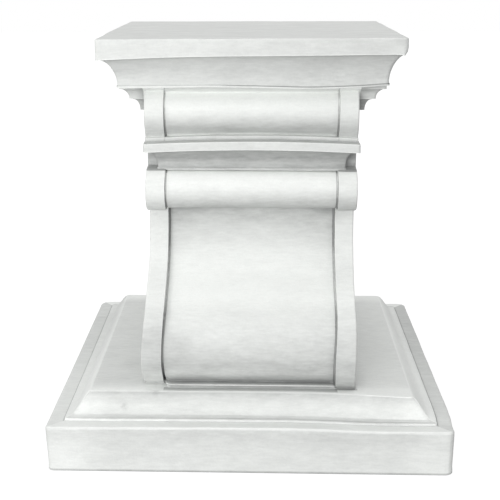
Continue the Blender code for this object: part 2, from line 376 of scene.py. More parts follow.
def sweep_out(height, depth):
    """How far out the sweep, the straight run or the toe is at this height."""
    sweep_radius = SWEEP["radius"] + depth
    toe_radius = TOE["radius"] - depth
    sweep_end = SWEEP["height"] - sweep_radius * math.sin(TILT)
    toe_start = TOE["height"] + toe_radius * math.sin(TILT)
    centre = SWEEP["out"] + SWEEP["radius"]
    toe_centre = TOE["out"] - TOE["radius"]
    if height >= SWEEP["height"]:
        return centre - sweep_radius
    if height >= sweep_end:
        return centre - math.sqrt(sweep_radius ** 2 - (SWEEP["height"] - height) ** 2)
    if height >= toe_start:
        share = (sweep_end - height) / (sweep_end - toe_start)
        start = centre - sweep_radius * math.cos(TILT)
        end = toe_centre + toe_radius * math.cos(TILT)
        return start + (end - start) * share
    return toe_centre + math.sqrt(toe_radius ** 2 - (height - TOE["height"]) ** 2)


def between(height, foot, top, at_foot, at_top):
    """A straight run from one distance to another between two heights."""
    return at_foot + (at_top - at_foot) * (height - foot) / (top - foot)


def profile_out(height, roll_depth, panel_depth):
    """How far out a strip or the panel stands at this height, from the cap down to the foot."""
    upper_foot = UPPER_ROLL["height"] - (UPPER_ROLL["radius"] - roll_depth)
    lower_top = LOWER_ROLL["height"] + (LOWER_ROLL["radius"] - roll_depth)
    lower_foot = LOWER_ROLL["height"] - (LOWER_ROLL["radius"] - roll_depth)
    waist = WAIST_OUT - panel_depth
    sweep_top = SWEEP["out"] - panel_depth
    if height >= upper_foot:
        return arc_out(UPPER_ROLL, height, roll_depth)
    if height >= upper_foot - ROLL_DRAFT:
        return between(height, upper_foot - ROLL_DRAFT, upper_foot, waist, UPPER_ROLL["out"])
    if height >= lower_top + ROLL_DRAFT:
        return waist
    if height >= lower_top:
        return between(height, lower_top, lower_top + ROLL_DRAFT, LOWER_ROLL["out"], waist)
    if height >= lower_foot:
        return arc_out(LOWER_ROLL, height, roll_depth)
    if height >= lower_foot - ROLL_DRAFT:
        return between(height, lower_foot - ROLL_DRAFT, lower_foot, sweep_top, LOWER_ROLL["out"])
    return sweep_out(height, panel_depth)


def ledge_out(ledge, height):
    """How far out a small ledge with a rounded top edge stands, or nothing above it. It may be undercut."""
    if height > ledge["top"]:
        return 0.0
    shoulder = ledge["top"] - ledge["edge"]
    rise = max(0.0, height - shoulder)
    back = ledge.get("undercut", 0.0) * max(0.0, shoulder - height) / (shoulder - PLANE_HEIGHT)
    return ledge["out"] - ledge["edge"] + math.sqrt(max(0.0, ledge["edge"] ** 2 - rise ** 2)) - back


# %% [markdown]
# The plan is a row of columns from the middle of the block to its side. A column knows how deep it lies
# behind the strips' face: nothing on a strip, a little on a rounded edge, and most on the panel. On a roll
# the panel lies less deep, and in the groove beside a strip it lies a bit deeper than elsewhere.

# %% The columns of the plan
Column = namedtuple("Column", "across at_roll at_panel edge bead")
STRIP_INNER = BLOCK_HALF_X - STRIP_WIDTH
GROOVE = {"width": 0.0016, "depth": 0.0009, "slope": 0.0002}


def plan_columns():
    """Columns from the middle to the side."""
    def panel(across, deeper):
        return Column(across, STRIP_OVER_ROLL + deeper, STRIP_OVER_PANEL + deeper, 0.0, True)

    def strip(across, depth):
        return Column(across, depth, depth, depth, False)

    flat = STRIP_INNER - GROOVE["width"]
    count = round(flat / CELL)
    columns = [panel(flat * i / count, 0.0) for i in range(count + 1)]
    columns.append(panel(STRIP_INNER - 0.7 * GROOVE["width"], 0.4 * GROOVE["depth"]))
    columns.append(panel(STRIP_INNER - 0.3 * GROOVE["width"], GROOVE["depth"]))
    columns.append(panel(STRIP_INNER, GROOVE["depth"]))
    turns = [math.pi / 2 * i / 4 for i in range(5)]
    inner = STRIP_INNER + GROOVE["slope"]
    columns += [strip(inner + STRIP_EDGE * (1 - math.cos(t)), STRIP_EDGE * (1 - math.sin(t))) for t in turns]
    start, end = inner + STRIP_EDGE, BLOCK_HALF_X - STRIP_END
    columns += [strip(between(i, 0, 4, start, end), 0.0) for i in (1, 2, 3)]
    columns += [strip(end + STRIP_END * math.sin(t), STRIP_END * (1 - math.cos(t))) for t in turns]
    return columns


COLUMNS = plan_columns()


def column_out(column, height):
    """How far out a column stands at this height."""
    out = profile_out(height, column.at_roll, column.at_panel)
    if height > SHELF_TOP - OVERLAP:
        out = max(out, ledge_out(LEDGE, height) - column.edge)
    if column.bead:
        out = max(out, ledge_out(BEAD, height))
    return out


print(len(COLUMNS), "columns from the middle to the side")

# %% [markdown]
# The outline bends fast round the rolls and the ledges and slowly along the sweep, so the levels lie close
# together where a face turns level and further apart elsewhere. Even steps would need several times as many
# faces.

# %% The levels that the block is extruded through
BLOCK_FOOT = PLANE_HEIGHT - OVERLAP
BLOCK_TOP = CAP_FOOT + OVERLAP
LEAST_STEP = 0.00015


def roll_heights(roll, depth, steps=30):
    """Heights round a roll, close together where its face turns level."""
    radius = roll["radius"] - depth
    return [roll["height"] - radius * math.cos(math.pi * i / steps) for i in range(steps + 1)]


def block_heights():
    """Every height at which the block gets a level."""
    heights = [BLOCK_FOOT, BLOCK_TOP]
    for depth in (0.0, STRIP_OVER_ROLL):
        heights += roll_heights(UPPER_ROLL, depth) + roll_heights(LOWER_ROLL, depth)
    for depth in sorted({column.at_roll for column in COLUMNS}):
        for roll in (UPPER_ROLL, LOWER_ROLL):
            heights += [roll["height"] - roll["radius"] + depth - drop for drop in (0.0, ROLL_DRAFT)]
        heights += [LOWER_ROLL["height"] + LOWER_ROLL["radius"] - depth + rise for rise in (0.0, ROLL_DRAFT)]
    for ledge in (LEDGE, BEAD):
        heights += [ledge["top"] + LEAST_STEP, ledge["top"]]
        heights += [ledge["top"] - ledge["edge"] * share for share in (0.13, 0.5, 1.0)]
    count = 48
    sweep_top = LOWER_ROLL["height"] - LOWER_ROLL["radius"] - ROLL_DRAFT
    heights += [between(i, 0, count, BEAD["top"] + 0.001, sweep_top - 0.001) for i in range(count + 1)]
    waist_foot, waist_top = LOWER_ROLL["height"] + LOWER_ROLL["radius"] + ROLL_DRAFT, SHELF_TOP - OVERLAP
    heights += [between(i, 0, 5, waist_foot, waist_top) for i in range(6)] + [waist_top + LEAST_STEP]
    kept = []
    for height in sorted(heights):
        if not kept or height - kept[-1] > LEAST_STEP / 2:
            kept.append(height)
    return kept


HEIGHTS = block_heights()
print(len(HEIGHTS), "levels for the block")

# %% [markdown]
# The plan of the block starts as a thin cube at its foot. Planes cut it into the columns, each column is
# moved out or in, and from there on the whole top is extruded upwards, level by level.

# %% The block between its strips
BLOCK_ROWS = 28


def make_block():
    """The strips, the panels, the ledge and the bead as one form."""
    foot = HEIGHTS[0]
    face = profile_out(foot, 0.0, 0.0)
    block = new_block("scroll_block", BLOCK_HALF_X, face, foot - LEAST_STEP, foot)
    edit(block)
    cuts = {column.across for column in COLUMNS[:-1]}
    cut_across(0, sorted(cuts | {-across for across in cuts}))
    cut_across(1, even_places(face, 2 * face / BLOCK_ROWS))
    bm = bmesh.from_edit_mesh(block.data)
    owners = {}

    def owner(vert):
        key = round(abs(vert.co.x), 5)
        if key not in owners:
            owners[key] = min(range(len(COLUMNS)), key=lambda i: abs(COLUMNS[i].across - key))
        return owners[key]

    outs = [column_out(column, foot) for column in COLUMNS]
    for vert in bm.verts:
        vert.co.y *= outs[owner(vert)] / face
    bmesh.update_edit_mesh(block.data)
    pick(block, "FACE", lambda item: item.normal.z > 0.9)
    for old, new in zip(HEIGHTS, HEIGHTS[1:]):
        bpy.ops.mesh.extrude_region_move(TRANSFORM_OT_translate={"value": (0.0, 0.0, new - old)})
        new_outs = [column_out(column, new) for column in COLUMNS]
        bm = bmesh.from_edit_mesh(block.data)
        for vert in (vert for vert in bm.verts if vert.select):
            column = owner(vert)
            vert.co.y *= new_outs[column] / outs[column]
        bmesh.update_edit_mesh(block.data)
        outs = new_outs
    bpy.ops.object.mode_set(mode="OBJECT")
    print("the block has", len(block.data.polygons), "faces")
    return block


block = make_block()

# %% [markdown]
# In the mould all of this is one hollow, so the forms are joined with Boolean unions and the inner walls
# disappear. Points that fall together are then merged, and every face is turned outwards.

# %% Join the forms into one casting
def join_form(piece, form):
    """Unite a form with the piece, and delete the form."""
    take(piece)
    join = piece.modifiers.new("join", "BOOLEAN")
    join.operation = "UNION"
    join.solver = "EXACT"
    join.object = form
    bpy.ops.object.modifier_apply(modifier="join")
    bpy.data.objects.remove(form, do_unlink=True)


plinth = slab
for form in [ogee_step, block, shelf] + necks + [cap]:
    join_form(plinth, form)
plinth.name = "plinth_casting"
plinth.data.name = "plinth_casting"
edit(plinth, "VERT")
bpy.ops.mesh.select_all(action="SELECT")
bpy.ops.mesh.remove_doubles(threshold=0.00002)
bpy.ops.mesh.normals_make_consistent(inside=False)
bpy.ops.object.mode_set(mode="OBJECT")
print("the casting has", len(plinth.data.polygons), "faces")

# %% [markdown]
# The real casting isn't true. Its cap leans, the shelf bows, the right end of the base hangs a little and
# the left toe is rubbed away, so that no line of it is quite straight. A sculptor would pull
# such places with the Grab brush. In a script the same pulls are sums: each is a distance times a weight
# that is one where the casting is pulled most and fades to nothing around it. The place of every point in
# the mould is kept as an attribute first, because the paint follows the mouldings and not the pulls.

# %% Keep where every point lay in the mould
points = np.empty(3 * len(plinth.data.vertices))
plinth.data.vertices.foreach_get("co", points)
MOULD = "place_in_the_mould"
kept_places = plinth.data.attributes.new(MOULD, "FLOAT_VECTOR", "POINT")
kept_places.data.foreach_set("vector", points)
points = points.reshape(-1, 3)
x, y, z = points.T
print("kept", len(points), "places as the attribute", MOULD)

# %% Soft weights, and how a place is pulled
RIGHT, BACK, UP = range(3)
pull = np.zeros_like(points)


def ease(start, end, value):
    """Nothing at the start, one at the end, and soft at both."""
    share = np.clip((value - start) / (end - start), 0.0, 1.0)
    return share * share * (3 - 2 * share)


def hump(centre, reach, value):
    """One at the centre, and softly down to nothing at its reach."""
    return 1 - ease(0.0, reach, np.abs(value - centre))


def grab(direction, distance, weight):
    """Pull the points in a direction by a distance, each as far as its weight says."""
    pull[:, direction] += distance * weight


def pull_ends(left, right, weight):
    """Pull the two ends of a moulding outwards by these distances."""
    pull[:, RIGHT] += weight * np.where(x < 0, -left, right)


away = np.abs(x)
front = ease(-0.080, -0.095, y)

# %% [markdown]
# The cap takes the most pulls. The foot of its fascia climbs to the right and droops at both ends, its
# right end leans back, and its lip climbs to the right as well. Each pull is one line, so a pull that is
# wrong can be taken out without touching the others.

# %% Pull the cap out of true
fascia = np.interp(z, (CAP_FOOT + CAP_LIP, FASCIA_FOOT, HEIGHT - CAP_EDGE), (0, 1, 0))
grab(UP, 0.0006, fascia)
grab(UP, 0.0091, fascia * x)
grab(UP, 0.795, fascia * np.minimum(x, 0.0) ** 3)
grab(UP, -0.0012, fascia * ease(0.146, HALF_CAP, x))
grab(UP, -0.0010, fascia * ease(-0.1535, -HALF_CAP, x))
grab(BACK, 0.0014, fascia * front * ease(0.04, 0.15, x))
grab(BACK, 0.0028, front * ease(0.05, 0.15, x) * ease(FASCIA_FOOT, HEIGHT - 0.002, z))
fascia_foot = np.interp(z, (CAP_FOOT + 0.022, FASCIA_FOOT, FASCIA_FOOT + 0.0055), (0, 1, 0))
grab(RIGHT, -0.0042, fascia_foot * ease(0.150, HALF_CAP, x))
grab(UP, -0.0007, front * ease(HEIGHT - 0.012, HEIGHT, z) * ease(-0.06, -0.15, x))
grab(BACK, 0.0028, ease(0.10, 0.155, y) * ease(CAP_FOOT, FASCIA_FOOT, z))

cap_foot = np.interp(z, (CAP_FOOT - 0.006, CAP_FOOT, CAP_FOOT + CAP_LIP, FASCIA_FOOT), (0, 1, 1, 0))
grab(UP, -0.0005, cap_foot)
grab(UP, 0.0095, cap_foot * x)
grab(UP, -0.0008, cap_foot * ease(-0.05, 0.0, x) * ease(0.14, 0.11, x))
grab(UP, -0.0020, cap_foot * hump(0.065, 0.080, x))
print("the cap is pulled by up to", round(1000 * float(np.abs(pull).max()), 1), "mm")

# %% [markdown]
# The ends of the fascia stand out a little, the left one more. Below it, in the hollow and on the necks, it
# is the right end that stands out more. The shelf hangs at both ends, as if it had sagged over the roll,
# while its lip below stays almost straight.

# %% Pull the ends of the cap and the necks, and bow the shelf
both_ends = ease(0.04, 0.15, away)
pull_ends(0.0016, 0.0010, both_ends * ease(CAP_FOOT, FASCIA_FOOT, z))
cap_hollow = ease(CAP_FOOT - 0.0005, CAP_FOOT, z) * ease(FASCIA_FOOT + 0.004, FASCIA_FOOT - 0.006, z)
pull_ends(0.0, 0.0024, both_ends * cap_hollow)
neck_ends = ease(CAP_FOOT, CAP_FOOT - 0.0005, z) * (z > SHELF_TOP) * ease(0.1162, 0.1178, away)
pull_ends(0.0028, 0.0042, neck_ends)

SHELF_HOLLOW = (SHELF_FOOT + SHELF_LIP, SHELF_TOP - SHELF_FASCIA)
shelf_body = np.interp(z, SHELF_HOLLOW + (LEDGE["top"], 0.350), (0, 1, 1, 0))
grab(UP, -0.0003, shelf_body)
grab(UP, -0.23, shelf_body * x ** 2)
shelf_lip = np.interp(z, (0.295, SHELF_FOOT) + SHELF_HOLLOW, (0, 1, 1, 0))
grab(UP, 0.0018, shelf_lip)
grab(UP, -0.003, shelf_lip * x)
print("the shelf hangs by", round(1000 * 0.23 * SHELF_HALF_X ** 2, 1), "mm at its ends")

# %% [markdown]
# The base is pulled in rings, because each of its edges is a square around the middle: the edge of the
# plane, the foot of the ogee, the step and the rim of the slab. The front edges sag to the right, the edge
# of the plane lies back on the left and forward on the right, and the back of the base has risen a little.

# %% Pull the base out of true
PLANE_REACH = HALF_BASE - PLANE_INSET
OGEE_REACH = HALF_BASE - OGEE["foot_inset"]
OGEE_END = HALF_BASE - 0.0269
STEP_REACH = HALF_BASE - STEP_INSET
RIM_REACH = HALF_BASE - SLAB_EDGE
above_the_slab = ease(0.040, 0.048, z)
up_the_slab = ease(0.004, SLAB_TOP, z)

plane_edge = np.interp(-y, (BEAD["out"], PLANE_REACH, OGEE_END), (0, 1, 0)) * above_the_slab
grab(BACK, 0.0065, plane_edge)
grab(BACK, -0.0100, plane_edge * ease(0.070, 0.175, x))
base_front = np.interp(-y, (PLANE_REACH, OGEE_END), (0, 1)) * up_the_slab
grab(UP, 0.0009, base_front)
grab(UP, -0.0024, base_front * ease(0.04, 0.14, x))
grab(UP, -0.0008, base_front * ease(-0.08, -0.20, x))
slab_rim = np.interp(-y, (STEP_REACH, RIM_REACH), (0, 1)) * up_the_slab
grab(UP, 0.0014, slab_rim)
grab(UP, -0.0007, slab_rim * ease(-0.03, -0.10, x))
base_back = ease(-0.05, 0.19, y) * ease(0.020, SLAB_TOP, z) * ease(PLANE_HEIGHT + 0.020, PLANE_HEIGHT, z)
grab(UP, 0.0010, base_back)
grab(UP, 0.0012, base_back * ease(-0.02, 0.15, x) * ease(SLAB_TOP, PLANE_HEIGHT, z))

step_sides = np.interp(away, (PLANE_REACH, OGEE_REACH, STEP_REACH, RIM_REACH), (0, 1, 1, 0))
pull_ends(0.0022, 0.0030, step_sides * above_the_slab)
slab_sides = ease(0.15, HALF_BASE, away)
pull_ends(-0.0020, -0.0006, slab_sides * ease(SLAB_TOP, 0.0, z))
pull_ends(0.0, -0.0018, slab_sides * ease(-0.150, -HALF_BASE, y) * (z < SLAB_TOP + STEP_HEIGHT))

# %% [markdown]
# The strips of the block wander: both lean to the left above the toe, and the right one is a little
# narrower at the sweep and at the upper roll. The left toe is rubbed back so far that it fades into the
# plane.

# %% Pull the strips of the block, and rub the left toe
whole_block = ease(PLANE_HEIGHT + 0.0004, PLANE_HEIGHT + 0.0030, z) * ease(CAP_FOOT, CAP_FOOT - 0.004, z)
STRIP_LINES = (-BLOCK_HALF_X, -STRIP_INNER, STRIP_INNER, BLOCK_HALF_X)
lean = np.interp(x, STRIP_LINES, (0.0034, 0.0022, 0.0025, 0.0016))
grab(RIGHT, -1.0, whole_block * hump(0.102, 0.060, z) * lean)
right_strip = whole_block * ease(0.085, BLOCK_HALF_X, x)
grab(RIGHT, -0.0015, right_strip * hump(0.160, 0.050, z))
grab(RIGHT, -0.0008, right_strip * hump(0.370, 0.045, z))

foot_of_toe = (y > -BEAD["out"] - 0.0004) * ease(PLANE_HEIGHT - 0.0001, PLANE_HEIGHT, z)
on_toe = np.where(z > PLANE_HEIGHT + 0.0001, 1.0, foot_of_toe)
left_strip = ease(-0.091, -0.0935, x) * (x > -BLOCK_HALF_X - 0.0001)
grab(BACK, 0.0110, front * on_toe * ease(0.108, PLANE_HEIGHT, z) * left_strip)

plinth.data.vertices.foreach_set("co", (points + pull).ravel())
plinth.data.update()
print("pulled by up to", round(1000 * float(np.abs(pull).max()), 1), "mm")

# %% [markdown]
# A hand-finished surface is never flat either. A Displace modifier with a soft cloud pattern moves every
# point inwards by a few tenths of a millimetre, so the size stays true. The underside is left out, since
# the casting stands on it. The curves are then shaded smooth, and the flat faces keep their flat look.

# %% The unevenness of a hand-finished surface
raised = plinth.vertex_groups.new(name="above_the_floor")
raised.add([int(i) for i in np.flatnonzero(z > 0.0020)], 1.0, "REPLACE")
take(plinth)
for name, grain, deepest in (("slow_waves", 0.055, 0.0006), ("trowel_marks", 0.014, 0.00022)):
    pattern = bpy.data.textures.new(name, "CLOUDS")
    pattern.noise_scale = grain
    uneven = plinth.modifiers.new(name, "DISPLACE")
    uneven.texture = pattern
    uneven.texture_coords = "LOCAL"
    uneven.mid_level = 1.0
    uneven.strength = deepest
    uneven.vertex_group = raised.name
    bpy.ops.object.modifier_apply(modifier=name)
bpy.ops.object.shade_smooth_by_angle(angle=math.radians(34))
even_normals = plinth.modifiers.new("flat_faces_stay_flat", "WEIGHTED_NORMAL")
even_normals.keep_sharp = True
bpy.ops.object.modifier_apply(modifier=even_normals.name)
print("uneven and shaded smooth,", len(plinth.data.vertices), "points")

# %% [markdown]
# The finish is a chalky white paint with a thin grey wash left in its creases. The grey in the material
# is that wash and painted shade together: it is darker in the creases, under the rolls and at the foot of
# the panel, where shade falls, and the arrises are made lighter as rubbed paint and a painted highlight.
# The material starts white, and everything below only decides how grey each place is. The helpers keep
# the wiring of the nodes short enough to read.

# %% Helpers that wire nodes
def add_node(tree, kind, **settings):
    """Add a shader node and set its options."""
    node = tree.nodes.new("ShaderNode" + kind)
    for setting, value in settings.items():
        setattr(node, setting, value)
    return node


def feed(tree, socket, source):
    """Link a socket to another one, or give it a plain value."""
    if isinstance(source, bpy.types.NodeSocket):
        tree.links.new(source, socket)
    else:
        socket.default_value = source


def calc(tree, operation, *sources, clamp=False):
    """A sum, product or other step of arithmetic on links and numbers."""
    node = add_node(tree, "Math", operation=operation, use_clamp=clamp)
    for socket, source in zip(node.inputs, sources):
        feed(tree, socket, source)
    return node.outputs["Value"]


def total(tree, *sources):
    """The sum of several links and numbers."""
    result = sources[0]
    for source in sources[1:]:
        result = calc(tree, "ADD", result, source)
    return result


def product(tree, *sources):
    """The product of several links and numbers."""
    result = sources[0]
    for source in sources[1:]:
        result = calc(tree, "MULTIPLY", result, source)
    return result


# %% [markdown]
# A mask says where an effect is allowed: it is one there and nothing elsewhere. Hard masks compare two
# values, soft ones fade between two places, and masks are joined by multiplying them. That is easier to
# follow than masks painted by hand, and it keeps working when a moulding gets another size.

# %% Helpers that make masks
def over(tree, value, limit):
    """One where the value is over the limit."""
    return calc(tree, "GREATER_THAN", value, limit)


def under(tree, value, limit):
    """One where the value is under the limit."""
    return calc(tree, "LESS_THAN", value, limit)


def without(tree, mask):
    """The opposite of a mask."""
    return calc(tree, "SUBTRACT", 1.0, mask)


def fade(tree, value, start, end, low=0.0, high=1.0):
    """A soft change from low to high, while a value goes from start to end."""
    node = add_node(tree, "MapRange", interpolation_type="SMOOTHSTEP")
    for socket, source in zip(node.inputs, (value, start, end, low, high)):
        feed(tree, socket, source)
    return node.outputs["Result"]


def bump_at(tree, value, centre, reach):
    """One at the centre, and softly down to nothing at its reach."""
    return fade(tree, calc(tree, "ABSOLUTE", calc(tree, "SUBTRACT", value, centre)), reach, 0.0)


def choose(tree, mask, elsewhere, inside):
    """One value inside a mask and another elsewhere."""
    node = add_node(tree, "Mix", data_type="FLOAT")
    for label, source in (("Factor", mask), ("A", elsewhere), ("B", inside)):
        feed(tree, node.inputs[label], source)
    return node.outputs["Result"]


# %% [markdown]
# Clouds of tone do most of the work of making paint look painted: wide ones for uneven coats, drawn-out
# ones for brush strokes, and tiny ones for the chalky grain. They are all the same effect at other sizes,
# so it is one node group. Its value swings softly around nothing, up to the amount that is asked for.

# %% A node group for clouds of tone
def new_group(name, inputs, output):
    """A shader node group with named inputs and one value as its output."""
    group = bpy.data.node_groups.new(name, "ShaderNodeTree")
    for label, kind, value in inputs:
        socket = group.interface.new_socket(label, in_out="INPUT", socket_type=kind)
        socket.default_value = value
    group.interface.new_socket(output, in_out="OUTPUT", socket_type="NodeSocketFloat")
    return group, group.nodes.new("NodeGroupInput").outputs, group.nodes.new("NodeGroupOutput").inputs


clouds, given, result = new_group("clouds_of_tone", (
    ("Size", "NodeSocketFloat", 0.02), ("Stretch", "NodeSocketVector", (1.0, 1.0, 1.0)),
    ("Detail", "NodeSocketFloat", 3.0), ("Amount", "NodeSocketFloat", 0.1)), "Shift")
drawn_out = add_node(clouds, "VectorMath", operation="DIVIDE")
feed(clouds, drawn_out.inputs[0], add_node(clouds, "TexCoord").outputs["Object"])
feed(clouds, drawn_out.inputs[1], given["Stretch"])
noise = add_node(clouds, "TexNoise")
feed(clouds, noise.inputs["Vector"], drawn_out.outputs["Vector"])
feed(clouds, noise.inputs["Scale"], calc(clouds, "DIVIDE", 1.0, given["Size"]))
feed(clouds, noise.inputs["Detail"], given["Detail"])
feed(clouds, noise.inputs["Roughness"], 0.55)
NOISE_SWING = 4.0
swing = product(clouds, calc(clouds, "SUBTRACT", noise.outputs["Fac"], 0.5), NOISE_SWING, given["Amount"])
feed(clouds, result["Shift"], swing)


def tone(tree, size, amount, stretch=(1.0, 1.0, 1.0), detail=3.0):
    """Place the clouds of tone in a material."""
    node = add_node(tree, "Group", node_tree=clouds)
    for label, value in (("Size", size), ("Amount", amount), ("Stretch", stretch), ("Detail", detail)):
        node.inputs[label].default_value = value
    return node.outputs["Shift"]


print("clouds of tone has", len(clouds.nodes), "nodes")

# %% [markdown]
# How grey the paint is depends on the height. This is wash and painted shade together: dark under each roll
# and in the shelf's hollow, where shade falls, and light where a roll or the panel swells forward into the
# light. A short list of heights and greys for each part of the front becomes a colour ramp. The heights are
# those of the mould, which were kept as an attribute, so the grey stays in its crease where the casting was
# pulled.

# %% How grey the wash and the painted shade are on the base and the cap
HAIR = 0.0001
# Painted shade and wash: each pair is a height and how grey the paint is there, darker where shade falls.
SLAB_SHADE_AND_WASH = ((0.0, 0.95), (0.0018, 0.70), (0.0032, 0.31), (0.024, 0.34), (0.038, 0.44), (0.0460, 0.46),
             (0.0478, 0.32), (SLAB_TOP, 0.00))
FRONT_SHADE_AND_WASH = SLAB_SHADE_AND_WASH + ((0.0510, 0.46), (0.0514, 0.49), (0.0535, 0.32), (0.060, 0.32), (0.068, 0.44),
                          (0.0714, 0.55), (PLANE_HEIGHT, 0.03))
SIDE_SHADE_AND_WASH = SLAB_SHADE_AND_WASH[:6] + ((SLAB_TOP, 0.30), (0.0514, 0.22), (0.0535, 0.26), (0.060, 0.20), (0.068, 0.14),
                             (PLANE_HEIGHT - 0.001, 0.08), (PLANE_HEIGHT, 0.27))
CAP_SHADE_AND_WASH = ((CAP_FOOT, 0.36), (0.404, 0.38), (0.416, 0.45), (FASCIA_FOOT - HAIR, 0.34), (FASCIA_FOOT, 0.35),
            (0.445, 0.35), (HEIGHT, 0.32))
NECK_SHADE_AND_WASH = {"upper": 0.37, "lower": 0.40}
print(len(FRONT_SHADE_AND_WASH), "marks for the front of the base,", len(CAP_SHADE_AND_WASH), "for the cap")

# %% How grey the wash and the painted shade are on the block
ROLL_FOOT = LOWER_ROLL["height"] - LOWER_ROLL["radius"]
# Painted shade and wash on the block: grey under each roll, in the shelf's hollow and at the panel's foot.
PANEL_SHADE_AND_WASH = ((PLANE_HEIGHT, 0.30), (BEAD["top"], 0.60), (BEAD["top"] + HAIR, 0.46), (0.081, 0.68),
              (0.088, 0.62), (0.098, 0.66), (0.109, 0.55), (0.123, 0.45), (0.136, 0.38), (0.147, 0.21),
              (0.165, 0.00), (0.188, 0.04), (0.206, 0.19), (0.221, 0.38), (0.234, 0.48), (0.240, 0.56),
              (0.247, 0.59), (ROLL_FOOT, 0.72))
LOWER_ROLL_SHADE_AND_WASH = ((ROLL_FOOT, 0.64), (0.268, 0.52), (0.276, 0.36), (0.282, 0.25), (0.293, 0.01),
                   (SHELF_FOOT, 0.00))
SHELF_SHADE_AND_WASH = ((SHELF_FOOT + HAIR, 0.82), (SHELF_FOOT + SHELF_LIP, 0.78), (0.310, 0.68), (0.316, 0.85),
              (0.3275, 0.66), (0.3290, 0.38), (SHELF_TOP - 0.0016, 0.36), (SHELF_TOP - 0.0008, 0.20),
              (SHELF_TOP - HAIR, 0.38), (SHELF_TOP, 0.64), (SHELF_TOP + 0.0004, 0.50),
              (LEDGE["top"] - 0.0004, 0.46), (LEDGE["top"], 0.20))
UPPER_ROLL_SHADE_AND_WASH = ((0.3440, 0.26), (0.3460, 0.46), (0.349, 0.54), (0.355, 0.43), (0.361, 0.31), (0.367, 0.16),
                   (0.373, 0.03), (0.380, 0.00), (0.388, 0.00), (0.392, 0.14), (0.394, 0.34),
                   (CAP_FOOT, 0.40))
ROLLS_SHADE_AND_WASH = LOWER_ROLL_SHADE_AND_WASH + SHELF_SHADE_AND_WASH + UPPER_ROLL_SHADE_AND_WASH
STRIP_SHADE_AND_WASH = ((PLANE_HEIGHT, 0.72), (0.080, 0.67), (0.090, 0.66), (0.109, 0.58), (0.126, 0.62), (0.140, 0.56),
              (0.165, 0.12), (0.206, 0.18), (0.243, 0.34), (0.268, 0.44), (0.280, 0.26), (0.290, 0.19),
              (0.300, 0.06), (0.304, 0.20), (0.340, 0.36), (0.349, 0.44), (0.370, 0.16), (0.385, 0.00),
              (CAP_FOOT, 0.00))
GROOVE_SHADE_AND_WASH = ((PLANE_HEIGHT, 0.90), (0.145, 0.65), (0.165, 0.34), (0.200, 0.40), (0.220, 0.75),
               (0.268, 0.85), (0.276, 0.35), (0.345, 0.40), (0.380, 0.35), (0.386, 0.60), (CAP_FOOT, 0.60))
print(len(PANEL_SHADE_AND_WASH), "marks for the panel,", len(ROLLS_SHADE_AND_WASH), "for the rolls and the shelf")


def shade_and_wash_by_height(tree, height, stops):
    """The grey of the wash and the painted shade at this height, and nothing above or below the list."""
    foot, top = stops[0][0], stops[-1][0]
    along = add_node(tree, "MapRange")
    for socket, source in zip(along.inputs, (height, foot, top)):
        feed(tree, socket, source)
    ramp = add_node(tree, "ValToRGB")
    marks = ramp.color_ramp.elements
    for level, grey in stops:
        is_end = level in (foot, top)
        mark = marks[0 if level == foot else -1] if is_end else marks.new((level - foot) / (top - foot))
        mark.color = (grey, grey, grey, 1.0)
    feed(tree, ramp.inputs["Fac"], along.outputs["Result"])
    between_ends = product(tree, over(tree, height, foot + HAIR), under(tree, height, top + HAIR))
    return product(tree, ramp.outputs["Color"], between_ends)


# %% [markdown]
# The paint has to know on which moulding it lies. The kept attribute gives how far across, how deep and how
# high a point was in the mould, and comparing these with the sizes of the mouldings picks out the block,
# its strips, the shelf and the necks. The front and the back are the same, so depths are counted from the
# middle.

# %% Where on the mould a point of the paint lies
# The grey of this paint is wash and painted shade together; its lighter arrises carry a painted highlight.
finish = bpy.data.materials.new("chalk_white_with_grey_wash_and_painted_shade")
finish.use_nodes = True
paint = finish.node_tree
shader = paint.nodes["Principled BSDF"]
mould = add_node(paint, "Attribute", attribute_name=MOULD)
split = add_node(paint, "SeparateXYZ")
feed(paint, split.inputs["Vector"], mould.outputs["Vector"])
across, depth, height = split.outputs
from_middle = calc(paint, "ABSOLUTE", across)
from_centre = calc(paint, "ABSOLUTE", depth)
reach = calc(paint, "MAXIMUM", from_middle, from_centre)
on_front = over(paint, from_centre, from_middle)
on_right = over(paint, across, 0.0)
on_plane = over(paint, height, PLANE_HEIGHT - 5 * HAIR)
on_block = product(paint, over(paint, height, PLANE_HEIGHT + HAIR), under(paint, height, CAP_FOOT))
on_shelf = product(paint, over(paint, height, SHELF_FOOT), under(paint, height, LEDGE["top"]))
off_shelf = without(paint, on_shelf)
on_strips = product(paint, over(paint, from_middle, STRIP_INNER), on_block, off_shelf)
on_necks = product(paint, over(paint, from_middle, BLOCK_HALF_X + 0.0006),
                   over(paint, height, SHELF_TOP + 0.01), on_block)
print("places and masks take", len(paint.nodes), "nodes")

# %% [markdown]
# On the panel the edge of the grey isn't level: below the lower roll the painted shade and wash hang lower
# beside the strips. The height that the ramp reads is therefore bent a little towards the strips.

# %% The painted shade and wash by height on the block
SHADE_AND_WASH_BEND = 9.0
bent_height = total(paint, height, product(paint, calc(paint, "POWER", from_middle, 3.0), SHADE_AND_WASH_BEND))
bent_height = calc(paint, "MINIMUM", bent_height, ROLL_FOOT - HAIR)
panel_height = choose(paint, fade(paint, height, 0.15, 0.20), height, bent_height)
on_panel = product(paint, under(paint, height, ROLL_FOOT), on_block)
panel_shade_and_wash = product(paint, shade_and_wash_by_height(paint, panel_height, PANEL_SHADE_AND_WASH), on_panel)
between_strips = total(paint, panel_shade_and_wash, shade_and_wash_by_height(paint, height, ROLLS_SHADE_AND_WASH))
block_shade_and_wash = choose(paint, on_strips, between_strips, shade_and_wash_by_height(paint, height, STRIP_SHADE_AND_WASH))

